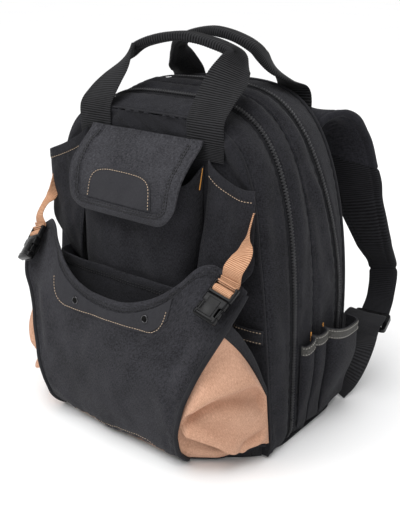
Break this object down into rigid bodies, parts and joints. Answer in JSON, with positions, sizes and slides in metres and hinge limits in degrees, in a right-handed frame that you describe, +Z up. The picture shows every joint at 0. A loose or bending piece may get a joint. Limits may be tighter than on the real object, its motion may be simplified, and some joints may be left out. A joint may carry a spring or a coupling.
{
  "type": "tool backpack",
  "caption": "Arched canvas tool backpack with a scooped apron pouch, flapped centre pocket, wing and side tool pockets, twin webbing handles and padded shoulder straps.",
  "frame": {"origin": "on the floor under the body, on the bag's centre line below its middle seam, in the plane of the base's underside", "axes": "+Z up, -Y the way the bag's front faces, +X to the right of someone looking along +Y; the YZ plane mirrors the bag"},
  "size_m": [0.3978, 0.3712, 0.4506],
  "materials": {
    "black_canvas": "matte coated canvas weave",
    "black_webbing": "ribbed webbing",
    "black_binding": "smooth grosgrain binding",
    "padded_mesh": "padded air mesh",
    "tan_canvas": "matte canvas weave",
    "tan_webbing": "ribbed webbing",
    "black_plastic": "satin moulded plastic",
    "zip_tape": "coil zip tape",
    "zip_metal": "dark lacquered metal",
    "eyelet_metal": "dark nickel"
  },
  "bodies": {
    "root": {"front_panel": "black_canvas", "front_gusset": "black_canvas", "mid_gusset_front": "black_canvas", "mid_gusset_rear": "black_canvas", "rear_gusset": "black_canvas", "front_zip": "zip_tape", "rear_zip": "zip_tape", "back_panel": "padded_mesh", "base": "black_canvas", "centre_pocket": "black_canvas", "inner_pocket_row": "black_canvas", "flap": "black_canvas", "flap_patch": "black_canvas", "wing_pocket_L": "black_canvas", "wing_pocket_R": "black_canvas", "pouch_front": "black_canvas", "pouch_patch": "black_canvas", "eyelet_L": "eyelet_metal", "eyelet_R": "eyelet_metal", "pouch_gusset_L": "tan_canvas", "gusset_binding_L": "black_binding", "pouch_gusset_R": "tan_canvas", "gusset_binding_R": "black_binding", "pouch_floor": "tan_canvas", "tool_band_L": "black_canvas", "tool_band_R": "black_canvas", "buckle_socket_L": "black_plastic", "buckle_clip_L": "black_plastic", "tan_strap_L": "tan_webbing", "buckle_tab_L": "black_webbing", "buckle_socket_R": "black_plastic", "buckle_clip_R": "black_plastic", "tan_strap_R": "tan_webbing", "buckle_tab_R": "black_webbing", "side_loop_front_L": "black_canvas", "side_loop_front_R": "black_canvas", "side_loop_rear_L": "black_canvas", "side_loop_rear_R": "black_canvas", "side_pocket_L": "black_canvas", "side_pocket_R": "black_canvas", "handle_front": "black_webbing", "handle_rear": "black_webbing", "shoulder_strap_L": "padded_mesh", "adjuster_L": "black_plastic", "lower_webbing_L": "black_webbing", "shoulder_strap_R": "padded_mesh", "adjuster_R": "black_plastic", "lower_webbing_R": "black_webbing", "zip_slider_front": "zip_metal", "zip_slider_rear": "zip_metal"}
  },
  "joints": []
}
